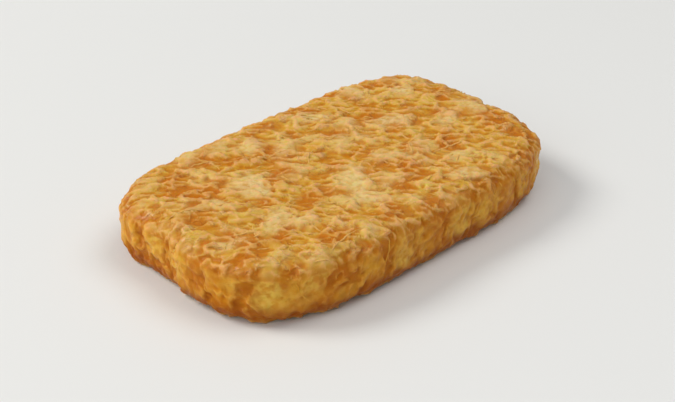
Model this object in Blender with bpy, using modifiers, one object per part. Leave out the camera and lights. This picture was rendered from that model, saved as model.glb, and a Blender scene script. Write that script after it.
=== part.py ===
"""A potato rosti: grated potato pressed into a slab with rounded corners and fried brown.

It is one solid, lying flat. X is its length, Y its width and Z up, and the origin is in the
middle of its footprint, on the surface that it lies on. Its form is made in three layers: a
slab with rounded rims, the strips of potato that stand out of it, and the crust round them.
"""

import math
import random
from collections import namedtuple

import bmesh
import bpy
import numpy as np
from mathutils import Vector, noise

MM = 0.001

# The finished size, crests included
LENGTH = 110 * MM
WIDTH = 67.2 * MM
THICKNESS = 17.4 * MM

# The bare slab inside the crests
CREST = 0.7 * MM
SLAB_LENGTH = LENGTH - 2 * CREST
SLAB_WIDTH = WIDTH - 2 * CREST
SLAB_THICKNESS = THICKNESS - CREST
OUTLINE_POWER = 4.3  # of the outline seen from above: 2 is an ellipse, more is squarer
# Each corner's angle round from +X (degrees), and the share by which it stands out or holds back
CORNERS = ((31, -0.01), (149, 0.02), (-149, -0.034), (-31, 0.008))
CORNER_SPREAD = 15  # degrees
TOP_RIM_IN = 6.8 * MM  # how far the round from wall to top reaches in, and down
TOP_RIM_DOWN = 4.8 * MM
BASE_RIM_IN = 3.6 * MM
BASE_RIM_DOWN = 4.2 * MM
SWELL = 0.5 * MM  # how far the whole slab swells and dips
SWELL_SPAN = 21 * MM

# Broad strips on the top: middle across and along, length, width (mm) and turn (degrees)
TOP_STRIPS = (
    (-45.0, 23.0, 7.5, 5.0, -30),
    (-47.5, 5.0, 7.0, 4.5, 60),
    (-36.0, 3.0, 6.5, 4.2, -60),
    (-32.0, -12.0, 13.0, 7.0, 30),
    (-27.5, 27.0, 7.0, 5.0, 60),
    (-25.5, 4.5, 12.0, 8.5, 80),
    (-19.0, 27.0, 9.0, 6.0, 10),
    (-14.0, 3.0, 7.0, 5.0, -45),
    (-13.5, -17.0, 8.0, 4.5, 70),
    (-11.5, 20.5, 8.0, 5.5, 40),
    (-7.0, 15.0, 9.0, 6.0, 35),
    (-3.5, -9.0, 12.0, 8.0, 40),
    (2.5, -15.5, 8.0, 5.0, 20),
    (7.0, 7.5, 9.0, 6.0, 45),
    (10.5, -6.5, 10.0, 4.8, -10),
    (10.5, 21.5, 8.5, 5.5, -15),
    (15.0, 13.5, 9.0, 5.5, 40),
    (21.0, -8.5, 10.0, 6.5, 30),
    (24.0, -19.0, 9.0, 5.5, 0),
    (25.5, 7.0, 11.0, 6.5, -35),
    (28.0, 26.0, 9.0, 6.0, 30),
    (37.0, -3.0, 9.5, 6.0, 35),
    (39.0, 16.0, 7.5, 5.5, -10),
    (41.0, 24.0, 9.0, 6.5, 60),
    (46.0, -3.5, 10.5, 6.5, 80),
)

# Broad strips on the front wall: place along the outline from the -X end, depth under the top,
# length, width (mm) and turn (degrees), where 90 stands upright
WALL_STRIPS = (
    (1.5, 6.0, 15.0, 8.0, 95),
    (6.0, 12.5, 9.0, 6.0, 10),
    (13.0, 6.0, 11.0, 5.0, 75),
    (18.5, 5.0, 11.0, 5.5, 95),
    (27.0, 7.0, 14.5, 8.0, 80),
    (33.0, 10.0, 10.0, 5.0, 105),
    (39.0, 3.5, 11.5, 8.0, 90),
    (45.5, 12.0, 9.5, 7.0, 20),
    (54.5, 7.5, 13.5, 7.0, 100),
    (65.5, 7.0, 17.0, 6.5, 88),
    (70.0, 13.5, 8.0, 6.0, 10),
    (75.5, 8.0, 13.0, 8.0, 95),
    (85.5, 6.0, 17.0, 7.0, 80),
    (94.5, 8.5, 13.0, 7.0, 95),
    (103.0, 8.0, 12.0, 6.5, 85),
    (111.0, 6.5, 13.0, 6.0, 80),
    (117.0, 10.0, 9.5, 6.5, 70),
)
FRONT_RUN = 122 * MM  # of the outline, which the list above fills

# Broad strips on the rest of the wall: the ranges of what the list above gives for each
WALL_STEP = 8.6 * MM  # from one to the next
WALL_STEP_SHARES = (0.85, 1.15)
WALL_DEPTHS = (4.5, 9.5)  # mm
WALL_LENGTHS = (10.5, 16)  # mm
WALL_WIDTHS = (5.5, 8)  # mm
WALL_TURNS = (70, 110)  # degrees

# The section of every broad strip: a low step at its edge, and a crown over its middle
BROAD_LIFT = 0.25 * MM
BROAD_CROWN = 0.95 * MM
BROAD_CROWN_SHARES = (0.8, 1.25)
BROAD_BEND = 10  # sideways, per metre of its length

# Narrower strips, scattered between and under the broad ones: how many, the longest, the highest
TOP_FILL = (60, 12 * MM, 0.8 * MM)
WALL_FILL = (80, 13 * MM, 1.15 * MM)
BASE_FILL = (64, 15 * MM, 0.9 * MM)
FILL_LENGTH_SHARES = (0.55, 1)
FILL_WIDTH_SHARES = (0.35, 0.55)  # of the strip's own length
FILL_CROWN_SHARES = (0.5, 1)
FILL_LIFTS = (-0.15 * MM, 0.2 * MM)
FILL_BEND = 16
EVERY_WAY = (0, 180)  # degrees
UPRIGHT = (50, 130)
OVER_THE_RIM = 2 * MM  # how far over the top's edge the wall's strips start
GOLDEN_STEPS = (0.7548776662, 0.5698402910)  # these spread points evenly over a square
UNEVEN_STEP = 0.02  # of the square, at random
SEED = 11

# A strip's edge rises over this share of its half width, and its crown is as steep as this power
EDGE_SHARE = 0.3
CROWN_POWER = 0.6

# Where top, wall and underside meet, their strips fade over these ranges
FACING = (0.15, 0.7)  # of the normal's vertical part
WALL_REACH = (4 * MM, 6.5 * MM)  # in from the outline

# The crust: ridges round shallow pits
PIT = 4.4 * MM
CRUST_DEPTH = 0.5 * MM
CRUST_WARP = 1.2 * MM
WARP_SPAN = 1.5 * PIT
RIDGE_SHARE = 0.3  # of a pit's width, taken by the ridge round it
BOWL_SHARE = 0.5  # of the depth, for the rise from a pit's middle to its side
CRUST_MIDDLE = 0.6  # of the depth, taken off so that the crust neither adds nor removes much
BARE_SHARE = 0.75  # of the crust, missing where a strip stands higher than this range
BARE_RANGE = (0.3 * MM, 0.9 * MM)

# The underside's lowest crests are pressed to one plane, as deep as this, and then trued
PRESSED = 0.85 * MM
TRUED = 0.12 * MM

# The surface grid, before and after the flatter stretches are thinned out
BALL_SEGMENTS = 192
BALL_RINGS = 96
RAY_SHARES = (0.3, 3.0)  # the slab's surface lies between these shares of the ball's
RAY_HALVINGS = 30
FINE_CELL = 0.9 * MM
SOFTENING_ROUNDS = 2
TRIANGLES = 9000

POTATO = (0.55, 0.26, 0.055, 1)
POTATO_ROUGHNESS = 0.42

Strip = namedtuple("Strip", "u v length width turn bend lift crown")


def clear_scene():
    for obj in list(bpy.data.objects):
        bpy.data.objects.remove(obj)


def gauge(x, y):
    """1 on the slab's outline, less inside it."""
    reach_x = np.abs(x / (SLAB_LENGTH / 2)) ** OUTLINE_POWER
    reach_y = np.abs(y / (SLAB_WIDTH / 2)) ** OUTLINE_POWER
    angle = np.degrees(np.arctan2(y, x))
    uneven = 1
    for corner, share in CORNERS:
        uneven = uneven + share * np.exp(-(((angle - corner) / CORNER_SPREAD) ** 2))
    return (reach_x + reach_y) ** (1 / OUTLINE_POWER) / uneven


def inset(x, y):
    """Distance in from the slab's outline, seen from above."""
    step = 0.01 * MM
    here = gauge(x, y)
    slope = np.hypot(gauge(x + step, y) - here, gauge(x, y + step) - here) / step
    return np.minimum((1 - here) / np.maximum(slope, 1 / SLAB_LENGTH), SLAB_WIDTH / 2)


def outline_run(steps=720):
    """Angles round the outline from the -X end, and the distance along it to each."""
    angles = np.linspace(-math.pi, math.pi, steps + 1)
    reach = 1 / gauge(np.cos(angles), np.sin(angles))
    sides = np.hypot(np.diff(reach * np.cos(angles)), np.diff(reach * np.sin(angles)))
    return angles, np.concatenate([[0], np.cumsum(sides)])


def fullness(points):
    """1 on the slab's surface, less inside it, with the two rims rounded."""
    x, y, z = points.T
    rim_in = np.where(z > 0, TOP_RIM_IN, BASE_RIM_IN)
    rim_down = np.where(z > 0, TOP_RIM_DOWN, BASE_RIM_DOWN)
    sideways = np.maximum(1 - inset(x, y) / rim_in, 0)
    upwards = np.maximum(1 - (SLAB_THICKNESS / 2 - np.abs(z)) / rim_down, 0)
    return np.hypot(sideways, upwards)


def swollen_to_slab(points):
    """Each point moved along its own ray from the middle until it is on the slab."""
    near, far = (np.full(len(points), share) for share in RAY_SHARES)
    for _ in range(RAY_HALVINGS):
        middle = (near + far) / 2
        beyond = fullness(points * middle[:, None]) > 1
        near, far = np.where(beyond, near, middle), np.where(beyond, middle, far)
    return points * near[:, None]


def read_vectors(mesh, name):
    values = np.empty(len(mesh.vertices) * 3)
    mesh.vertices.foreach_get(name, values)
    return values.reshape(-1, 3)


def finished_mesh(obj):
    """The object's mesh with its modifiers applied. The object itself is removed."""
    graph = bpy.context.evaluated_depsgraph_get()
    mesh = bpy.data.meshes.new_from_object(obj.evaluated_get(graph))
    bpy.data.objects.remove(obj)
    return mesh


def slab_mesh():
    """The bare slab, with an even grid of small faces."""
    mesh = bpy.data.meshes.new("slab")
    ball = bmesh.new()
    bmesh.ops.create_uvsphere(ball, u_segments=BALL_SEGMENTS, v_segments=BALL_RINGS, radius=1)
    ball.to_mesh(mesh)
    ball.free()
    sides = np.array([SLAB_LENGTH, SLAB_WIDTH, SLAB_THICKNESS])
    points = swollen_to_slab(read_vectors(mesh, "co") * sides / 2)
    mesh.vertices.foreach_set("co", points.ravel())
    slab = bpy.data.objects.new("slab", mesh)
    bpy.context.scene.collection.objects.link(slab)
    remesh = slab.modifiers.new("even grid", "REMESH")
    remesh.mode = "VOXEL"
    remesh.voxel_size = FINE_CELL
    return finished_mesh(slab)


def broad_strip(u, v, length, width, turn, rng):
    return Strip(
        u, v, length, width, math.radians(turn),
        rng.uniform(-BROAD_BEND, BROAD_BEND),
        BROAD_LIFT,
        BROAD_CROWN * rng.uniform(*BROAD_CROWN_SHARES),
    )


def listed_strips(rows, rng):
    return [broad_strip(*(size * MM for size in row[:4]), row[4], rng) for row in rows]


def back_wall_strips(run, rng):
    """Broad strips along the rest of the wall, in the same style as those on the front."""
    strips = []
    place = FRONT_RUN
    while place < run - WALL_STEP / 2:
        ranges = (WALL_DEPTHS, WALL_LENGTHS, WALL_WIDTHS)
        deep, length, width = (rng.uniform(*each) * MM for each in ranges)
        strips.append(broad_strip(place, deep, length, width, rng.uniform(*WALL_TURNS), rng))
        place += WALL_STEP * rng.uniform(*WALL_STEP_SHARES)
    return strips


def fill_strips(rng, corner, area, turns, count, longest, highest):
    """Narrow strips spread over a rectangle that starts at corner."""
    strips = []
    for i in range(count):
        across, along = (
            (i * step + rng.uniform(-UNEVEN_STEP, UNEVEN_STEP)) % 1 for step in GOLDEN_STEPS
        )
        length = rng.uniform(*FILL_LENGTH_SHARES) * longest
        strips.append(
            Strip(
                corner[0] + across * area[0],
                corner[1] + along * area[1],
                length,
                length * rng.uniform(*FILL_WIDTH_SHARES),
                math.radians(rng.uniform(*turns)),
                rng.uniform(-FILL_BEND, FILL_BEND),
                rng.uniform(*FILL_LIFTS),
                rng.uniform(*FILL_CROWN_SHARES) * highest,
            )
        )
    return strips


def all_strips(run):
    """The strips on the top, on the wall and on the underside."""
    rng = random.Random(SEED)
    footprint = (-LENGTH / 2, -WIDTH / 2), (LENGTH, WIDTH)
    unrolled_wall = (0, -OVER_THE_RIM), (run, THICKNESS)
    top = listed_strips(TOP_STRIPS, rng)
    top += fill_strips(rng, *footprint, EVERY_WAY, *TOP_FILL)
    wall = listed_strips(WALL_STRIPS, rng) + back_wall_strips(run, rng)
    wall += fill_strips(rng, *unrolled_wall, UPRIGHT, *WALL_FILL)
    base = fill_strips(rng, *footprint, EVERY_WAY, *BASE_FILL)
    return top, wall, base


def strip_height(u, v, strips, period=math.inf):
    """Height of the topmost strip over each point, or 0 where there is none."""
    height = np.zeros(len(u))
    for strip in strips:
        du = u - strip.u
        if period < math.inf:
            du = (du + period / 2) % period - period / 2
        dv = v - strip.v
        along = du * math.cos(strip.turn) + dv * math.sin(strip.turn)
        across = dv * math.cos(strip.turn) - du * math.sin(strip.turn) + strip.bend * along**2
        reach = np.abs(2 * along / strip.length) ** 3 + (2 * across / strip.width) ** 2
        inside = np.clip(1 - reach, 0, 1)
        over = strip.lift * step_up(inside, 0, EDGE_SHARE) + strip.crown * inside**CROWN_POWER
        height = np.where(reach < 1, np.maximum(height, over), height)
    return height


def step_up(value, low, high):
    """0 below low, 1 above high and a smooth rise between."""
    share = np.clip((value - low) / (high - low), 0, 1)
    return share * share * (3 - 2 * share)


def strip_relief(points, normals):
    """Height of the strips over the bare slab."""
    x, y, z = points.T
    angles, run = outline_run()
    top, wall, base = all_strips(run[-1])
    along_rim = np.interp(np.arctan2(y, x), angles, run)
    deep = SLAB_THICKNESS / 2 - z - np.sign(z) * inset(x, y)
    top_share = step_up(normals[:, 2], *FACING)
    base_share = step_up(-normals[:, 2], *FACING)
    wall_share = 1 - step_up(inset(x, y), *WALL_REACH)
    return np.maximum.reduce(
        [
            top_share * strip_height(x, y, top),
            base_share * strip_height(x, y, base),
            wall_share * strip_height(along_rim, deep, wall, period=run[-1]),
        ]
    )


def crust_height(point):
    """Ridges round shallow pits, laid out as warped cells."""
    warped = point + noise.noise_vector(point / WARP_SPAN) * CRUST_WARP
    nearest, second = noise.voronoi(warped / PIT)[0][:2]
    border = min((second - nearest) / RIDGE_SHARE, 1)
    ridge = 1 - border * border * (3 - 2 * border)
    return CRUST_DEPTH * (ridge + BOWL_SHARE * nearest - CRUST_MIDDLE)


def relief(points, normals):
    """How far each point of the slab moves out."""
    noise.seed_set(SEED)
    strips = strip_relief(points, normals)
    crust = np.array([crust_height(Vector(point)) for point in points])
    swell = np.array([SWELL * noise.noise(Vector(point) / SWELL_SPAN) for point in points])
    covered = 1 - BARE_SHARE * step_up(strips, *BARE_RANGE)
    return strips + crust * covered + swell


def pressed_flat(points, deep):
    """The lowest crests pressed to one plane, where Z is 0."""
    floor = points[:, 2].min() + deep
    points[:, 2] = np.maximum(points[:, 2] - floor, 0)
    return points


def at_finished_size(points):
    """Centred on the origin seen from above, and stretched a little to the finished size."""
    low, high = points.min(axis=0), points.max(axis=0)
    middle = (low + high) / 2 * [1, 1, 0]
    return (points - middle) * [LENGTH, WIDTH, THICKNESS] / (high - low)


def fried_potato():
    material = bpy.data.materials.new("fried potato")
    material.use_nodes = True
    shader = material.node_tree.nodes["Principled BSDF"]
    shader.inputs["Base Color"].default_value = POTATO
    shader.inputs["Roughness"].default_value = POTATO_ROUGHNESS
    shader.inputs["Metallic"].default_value = 0
    return material


def rough_mesh():
    """The slab with its strips and crust, softened and thinned out to fewer faces."""
    mesh = slab_mesh()
    points, normals = read_vectors(mesh, "co"), read_vectors(mesh, "normal")
    points = points + normals * relief(points, normals)[:, None]
    mesh.vertices.foreach_set("co", pressed_flat(points, PRESSED).ravel())
    rough = bpy.data.objects.new("rough", mesh)
    bpy.context.scene.collection.objects.link(rough)
    soften = rough.modifiers.new("soften", "SMOOTH")
    soften.iterations = SOFTENING_ROUNDS
    thin_out = rough.modifiers.new("thin out", "DECIMATE")
    thin_out.ratio = TRIANGLES / (2 * len(mesh.polygons))
    thin_out.use_collapse_triangulate = True
    return finished_mesh(rough)


def build_rosti():
    mesh = rough_mesh()
    points = pressed_flat(read_vectors(mesh, "co"), TRUED)
    mesh.vertices.foreach_set("co", at_finished_size(points).ravel())
    mesh.shade_smooth()
    mesh.materials.clear()
    mesh.materials.append(fried_potato())
    food = bpy.data.collections.new("potato_rosti")
    bpy.context.scene.collection.children.link(food)
    food.objects.link(bpy.data.objects.new("rosti", mesh))


clear_scene()
build_rosti()
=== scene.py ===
"""The looks of a potato rosti: its fried crust with the shreds showing, on a pale floor.

The crust repeats the solid's own shapes on a finer grid, with more relief. While it is made,
each of its points also gets a few values from 0 to 1, such as how pale the potato is there,
and the material mixes its colours and its gloss from these.
"""

import math
import random
from collections import namedtuple

import bmesh
import bpy
import numpy as np
from mathutils import Matrix, Vector, noise
from mathutils.bvhtree import BVHTree


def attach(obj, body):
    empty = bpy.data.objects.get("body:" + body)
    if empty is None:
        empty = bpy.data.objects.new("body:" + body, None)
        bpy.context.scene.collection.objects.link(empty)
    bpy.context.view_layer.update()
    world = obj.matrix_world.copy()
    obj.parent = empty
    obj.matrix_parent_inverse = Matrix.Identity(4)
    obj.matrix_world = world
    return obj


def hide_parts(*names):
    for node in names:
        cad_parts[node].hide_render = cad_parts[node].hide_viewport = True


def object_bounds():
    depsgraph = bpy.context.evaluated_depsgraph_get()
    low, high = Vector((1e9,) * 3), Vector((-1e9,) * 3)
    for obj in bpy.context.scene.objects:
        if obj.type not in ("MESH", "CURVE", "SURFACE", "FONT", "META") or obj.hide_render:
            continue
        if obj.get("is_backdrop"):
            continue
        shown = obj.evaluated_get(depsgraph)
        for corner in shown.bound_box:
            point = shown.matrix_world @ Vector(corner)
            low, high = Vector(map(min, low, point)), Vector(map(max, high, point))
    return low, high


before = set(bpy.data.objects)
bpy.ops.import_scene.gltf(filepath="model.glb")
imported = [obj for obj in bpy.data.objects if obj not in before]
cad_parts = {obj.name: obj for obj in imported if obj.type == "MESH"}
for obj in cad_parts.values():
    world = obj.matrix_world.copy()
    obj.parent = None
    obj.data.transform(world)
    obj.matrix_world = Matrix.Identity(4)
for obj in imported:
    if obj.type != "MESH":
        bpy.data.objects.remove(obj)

MM = 0.001
CAD_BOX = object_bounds()

# The finished size, crests included
LENGTH, WIDTH, THICKNESS = CAD_BOX[1] - CAD_BOX[0]

# The bare slab inside the crests
CREST = 0.7 * MM
SLAB_LENGTH = LENGTH - 2 * CREST
SLAB_WIDTH = WIDTH - 2 * CREST
SLAB_THICKNESS = THICKNESS - CREST
OUTLINE_POWER = 4.3  # of the outline seen from above: 2 is an ellipse, more is squarer
# Each corner's angle round from +X (degrees), and the share by which it stands out or holds back
CORNERS = ((31, -0.004), (141, 0.022), (175, -0.02), (-152, -0.036), (-125, 0.018), (-31, -0.012))
CORNER_SPREAD = 15  # degrees
TOP_RIM_IN = 6.8 * MM  # how far the round from wall to top reaches in, and down
TOP_RIM_DOWN = 4.8 * MM
BASE_RIM_IN = 3 * MM
BASE_RIM_DOWN = 4.2 * MM
SWELL = 0.5 * MM  # how far the whole slab swells and dips
SWELL_SPAN = 21 * MM

# Broad strips on the top: middle across and along, length, width (mm), turn (degrees), paleness
TOP_STRIPS = (
    (-45.0, 23.0, 7.5, 5.0, -30, 0.3),
    (-47.5, 5.0, 7.0, 4.5, 60, 0.3),
    (-36.0, 3.0, 6.5, 4.2, -60, 0.8),
    (-32.0, -12.0, 13.0, 7.0, 30, 0.75),
    (-27.5, 27.0, 7.0, 5.0, 60, 0.55),
    (-25.5, 4.5, 12.0, 8.5, 80, 1.0),
    (-19.0, 27.0, 9.0, 6.0, 10, 0.5),
    (-14.0, 3.0, 7.0, 5.0, -45, 0.45),
    (-13.5, -17.0, 8.0, 4.5, 70, 0.6),
    (-11.5, 20.5, 8.0, 5.5, 40, 0.85),
    (-7.0, 15.0, 9.0, 6.0, 35, 0.6),
    (-3.5, -9.0, 12.0, 8.0, 40, 0.85),
    (2.5, -15.5, 8.0, 5.0, 20, 0.6),
    (7.0, 7.5, 9.0, 6.0, 45, 0.55),
    (10.5, -6.5, 10.0, 4.8, -10, 0.85),
    (10.5, 21.5, 8.5, 5.5, -15, 0.9),
    (15.0, 13.5, 9.0, 5.5, 40, 0.6),
    (21.0, -8.5, 10.0, 6.5, 30, 0.6),
    (24.0, -19.0, 9.0, 5.5, 0, 0.8),
    (25.5, 7.0, 11.0, 6.5, -35, 1.0),
    (28.0, 26.0, 9.0, 6.0, 30, 0.8),
    (37.0, -3.0, 9.5, 6.0, 35, 0.85),
    (39.0, 16.0, 7.5, 5.5, -10, 1.0),
    (41.0, 24.0, 9.0, 6.5, 60, 0.3),
    (46.0, -3.5, 10.5, 6.5, 80, 0.75),
)

# Broad strips on the front wall: place along the outline from the -X end, depth under the top,
# length, width (mm), turn (degrees), where 90 stands upright, and paleness
WALL_STRIPS = (
    (1.5, 6.0, 15.0, 8.0, 95, 0.8),
    (6.0, 12.5, 9.0, 6.0, 10, 0.3),
    (13.0, 6.0, 11.0, 5.0, 75, 0.4),
    (18.5, 5.0, 11.0, 5.5, 95, 0.6),
    (27.0, 7.0, 14.5, 8.0, 80, 1.0),
    (33.0, 10.0, 10.0, 5.0, 105, 0.5),
    (39.0, 3.5, 11.5, 8.0, 90, 0.95),
    (45.5, 12.0, 9.5, 7.0, 20, 0.5),
    (54.5, 7.5, 13.5, 7.0, 100, 0.35),
    (65.5, 7.0, 17.0, 6.5, 88, 0.9),
    (70.0, 13.5, 8.0, 6.0, 10, 0.4),
    (75.5, 8.0, 13.0, 8.0, 95, 0.35),
    (85.5, 6.0, 17.0, 7.0, 80, 0.95),
    (94.5, 8.5, 13.0, 7.0, 95, 0.65),
    (103.0, 8.0, 12.0, 6.5, 85, 0.35),
    (111.0, 6.5, 13.0, 6.0, 80, 0.6),
    (117.0, 10.0, 9.5, 6.5, 70, 0.3),
)
FRONT_RUN = 122 * MM  # of the outline, which the list above fills

# Broad strips on the rest of the wall: the ranges of what the list above gives for each
WALL_STEP = 8.6 * MM  # from one to the next
WALL_STEP_SHARES = (0.85, 1.15)
WALL_DEPTHS = (4.5, 9.5)  # mm
WALL_LENGTHS = (10.5, 16)  # mm
WALL_WIDTHS = (5.5, 8)  # mm
WALL_TURNS = (70, 110)  # degrees
WALL_PALENESS = (0.3, 1)

# The section of every broad strip: a low step at its edge, and a crown over its middle
BROAD_LIFT = 0.1 * MM
BROAD_CROWN = 0.95 * MM
BROAD_CROWN_SHARES = (0.8, 1.25)
BROAD_BEND = 10  # sideways, per metre of its length

# Narrower strips, scattered between and under the broad ones: how many, the longest, the highest
TOP_FILL = (100, 11 * MM, 0.6 * MM)
WALL_FILL = (80, 13 * MM, 0.85 * MM)
BASE_FILL = (64, 15 * MM, 0.9 * MM)
FILL_LENGTH_SHARES = (0.5, 1)
FILL_WIDTH_SHARES = (0.28, 0.48)  # of the strip's own length
FILL_CROWN_SHARES = (0.5, 1)
FILL_LIFTS = (0, 0.3 * MM)
FILL_BEND = 16
EVERY_WAY = (0, 180)  # degrees
ALONG_GRAIN = (-80, -8)
UPRIGHT = (50, 130)
OVER_THE_RIM = 2 * MM  # how far over the top's edge the wall's strips start
GOLDEN_STEPS = (0.7548776662, 0.5698402910)  # these spread points evenly over a square
UNEVEN_STEP = 0.02  # of the square, at random
SEED = 11

# A strip's section: the share of its half width over which its edge rises, how much of its crown
# is used, how steep that is, how far it spreads, its squareness and how softly it meets others
Crown = namedtuple("Crown", "edge share power spread squareness melt")
TOP_CROWN = Crown(0.5, 0.5, 1.1, 1.15, 2, 0.2 * MM)
WALL_CROWN = Crown(0.4, 0.6, 1.1, 1.1, 2, 0.3 * MM)
BLUNT_ENDS = 3

# Where top, wall and underside meet, their strips fade over these ranges
FACING = (0.15, 0.7)  # of the normal's vertical part
WALL_REACH = (2.2 * MM, 4.5 * MM)  # in from the outline

# The thin lip along a strip's edge, broken here and there, and bumps between and on the strips
LIP_PLACE = 0.22  # of the half width in from the edge
LIP_WIDTH = 0.16
LIP_HEIGHT = 0.3 * MM
LIP_BREAK_SPAN = 3 * MM
LIP_BREAK_RANGE = (-0.2, 0.15)
BUMP_HEIGHT = 0.3 * MM
BUMP_SPAN = 3 * MM

# How the strips' edges wander: span and size, in large and in small
WANDER = (5.5 * MM, 2.2 * MM)
FRAY = (2.5 * MM, 0.5 * MM)
PALE_RISE = (0.05, 0.6)  # from a strip's edge to its middle
FILL_PALENESS = (-0.7, 0.85)
TINT_SEED = 5
WOBBLE_SEED = 7

# The crust: ridges round shallow pits, finer crinkles, and veins that run on
PIT = 3.5 * MM
PIT_DEPTH = 0.6 * MM
PIT_WARP = (2.6 * MM, 1.2 * MM)
CRUMPLE = (2 * MM, 0.6 * MM)
PIT_RIDGE = 0.3  # of a pit's width, taken by the ridge round it
WORN_RIDGE = 0.15  # of its height, left where it is broken
PIT_FLOOR = (0.3, 1)
BOWL_SHARE = 0.5
CRUST_MIDDLE = 0.6
CRINKLE = 2 * MM
CRINKLE_DEPTH = 0.16 * MM
CRINKLE_WARP = (1.8 * MM, 0.6 * MM)
CRINKLE_RIDGE = 0.5
BARE_CRINKLES = 0.3  # of their height, left on the strips
VEIN_SPAN = 2.8 * MM
VEIN_HEIGHT = 0.42 * MM
VEIN_SHARPNESS = 3.5
VEIN_WOBBLE = (1.8 * MM, 0.9 * MM)
VEIN_BREAK_SPAN = 5 * MM
VEIN_BREAK_RANGE = (-0.5, -0.1)
VEIN_COVERS = 0.5  # of a pit's depth, hidden by a vein
BREAK_SPAN = 4.5 * MM
BREAK_RANGE = (-0.2, 0.2)
BARE_SHARE = 0.4
BARE_RANGE = (0.2 * MM, 0.65 * MM)
CRUST_RANGE = (0, 0.9 * MM)
GRAIN_TURN = -44  # degrees from +X: the way that most shreds on the top lie
GRAIN_STRETCH = 1.9
GRAIN_RISE = 1.3  # the same for the fine lines, upwards
WALL_STRETCH = 1.7
RIDGE_SHOWS = (0.8, 0.6, 1, 0.8)  # how strongly pits, crinkles, veins and lips colour
SIDE_RANGE = (0.15, 0.85)  # of the normal's vertical part
SIDE_SMOOTHNESS = 0.6
SIDE_LOWER = 0.25  # how much lower the strips on the wall stand than their own crowns
FOOT_RISE = (1 * MM, 5 * MM)  # over the underside; below it the wall's relief is lower
FOOT_SMOOTHNESS = 0.5

# How brown: patches at random, spots (x, y and radius, mm), and a foot band, browned and painted
# shade
BROWN_PATCHES = 2.6
BROWN_SPAN = 7 * MM
BROWN_SPOTS = (
    (-38, 21, 5),
    (-44, 9, 4.5),
    (-33, 12, 3.5),
    (-40, -14, 3),
    (-9, 27, 2.5),
    (0, 27, 3),
    (1, 21, 2.5),
    (24, 17, 3.5),
    (11, -1.5, 2.5),
    (-2, 6, 3),
    (27, -14, 3.5),
    (-15, -6, 3),
    (37, -14, 2.5),
    (46, 8, 3.5),
    (9, -16, 3),
    (-48, -8, 4),
    (-6, -26, 3.5),
    (-30, -30, 4),
)
SPOT_SHARE = 1
BAND = (2 * MM, 6.8 * MM)
BAND_UNEVEN = 1.6 * MM
BAND_SPAN = 3 * MM
UNDER_LIGHTER = 0.8  # how much lighter the underside is than the foot band
UNDER_RANGE = (0.5, 0.95)  # of the normal's vertical part, downwards

SOFT_ROUNDS = 22  # of blurring, for the values that change slowly
RIM_RISE = (0.1, 0.5)  # of the normal's vertical part
RIM_FALL = (0.75, 0.97)

# How deep each point lies among its neighbours: rounds of blurring, and the depth that counts
HOLLOWS = {"hollow": (12, 0.3 * MM), "broad_hollow": (90, 0.6 * MM)}

# The underside's lowest crests are pressed to one plane, as deep as this
PRESSED = 0.85 * MM

# Thin crisp threads that lie over the crust
THREAD_RADIUS = 0.25 * MM
THREAD_LIFT = -0.08 * MM
THREAD_STEP = 0.4 * MM
THREAD_LENGTHS = (2 * MM, 5.5 * MM)
CRINKLED = 0.22 * MM
CRINKLE_LENGTHS = (1.6 * MM, 3 * MM)
CRINKLE_WAVE = (0.5, 2.3)  # height and number of the second wave, of the first one's
PHASES = (0, 6)
FEWEST_POINTS = 5
EASING_ROUNDS = 2
THREAD_THICKNESSES = (0.7, 1.3)
THREAD_KNOTS = (0.65, 1.25)  # how the thickness varies from point to point
THREAD_END = 0.2  # of its thickness, left at both its ends
TAPER_POWER = 0.5
THREAD_SAG = 0.6 * MM
THREAD_LOW = (12 * MM, 15 * MM)  # below this it has the wall's colour
THREAD_SIDE = 0.2  # how much of that colour it has above
THREAD_RIDGE = 0.8
THREAD_HOLLOW = 0.3
STEEP = 0.35  # the least vertical part of the normal that a thread on the top crosses
TOP_THREADS = 120
WALL_THREADS = 8
WALL_THREAD_DEPTHS = (2, 14)  # mm
WALL_THREAD_TURNS = (90, 35)  # middle and spread, in degrees
WALL_THREADS_SHORTER = 1.3
WALL_THREAD_SAG = 1 * MM
GRAIN_SPREAD = 32  # degrees
THREAD_SEED = 21
# Ends of the longest ones on the top (x, y, x, y) and their sag sideways (mm)
LONG_THREADS = (
    (16, -10, 20.5, -4.5, 0.4),
    (20, -13, 32, -14.5, 0.8),
    (26, 3, 29, 9.5, -1.2),
    (-20, -10.5, -14.5, -16.5, 0.5),
    (-21, -13.5, -16, -17.5, 0.4),
    (-43, -9, -37, -14, 0.6),
    (-40, -13.5, -36.5, -8, 0.4),
    (-36, -19.5, -35.5, -27, 0.5),
    (-31, -29, -20, -27, 0.7),
    (-15.5, -24, -14.5, -30, 0.5),
    (-30, 23.5, -23.5, 20, 1.0),
    (-7, 4, -1, 8.5, 1.0),
    (-50, 8, -40, 3.5, 0.8),
    (-24, 12, -14, 7, 0.7),
    (0, 14, 9, 8.5, -0.7),
    (6, 25, 12, 18, 0.8),
)
# The same on the wall: place along the outline and depth under the top
LONG_WALL_THREADS = (
    (33, 4, 37, 12, 0.8),
    (60, 3, 58.5, 9, -0.7),
    (99, 2.5, 99.5, 10, 0.8),
)
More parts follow.
